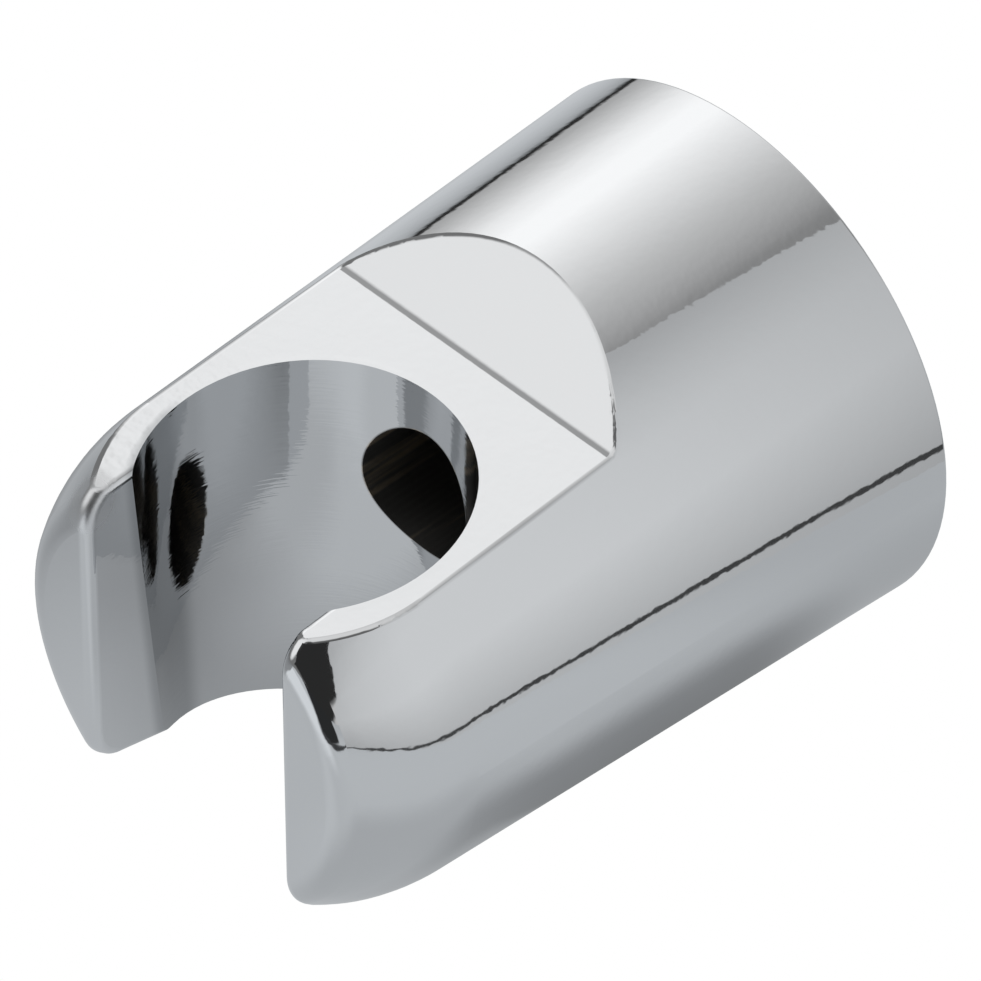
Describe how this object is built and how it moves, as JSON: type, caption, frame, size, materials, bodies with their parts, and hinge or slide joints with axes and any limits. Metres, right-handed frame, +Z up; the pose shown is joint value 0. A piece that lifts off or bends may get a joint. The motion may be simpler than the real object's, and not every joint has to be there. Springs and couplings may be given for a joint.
{
  "type": "hand shower holder",
  "caption": "Wall holder for a hand shower: a tapered round body with a conical socket and a front slot for the hose, fixed by two screws from inside the socket.",
  "frame": {"origin": "centre of the round wall face, in the plane of the wall", "axes": "+Z up, +Y into the wall, so the holder reaches out from the wall along -Y, and +X to its right as seen from the room"},
  "size_m": [0.042, 0.0539, 0.042],
  "materials": {
    "chrome_plating": "polished chrome plating"
  },
  "bodies": {
    "root": {"holder_body": "chrome_plating"}
  },
  "joints": []
}
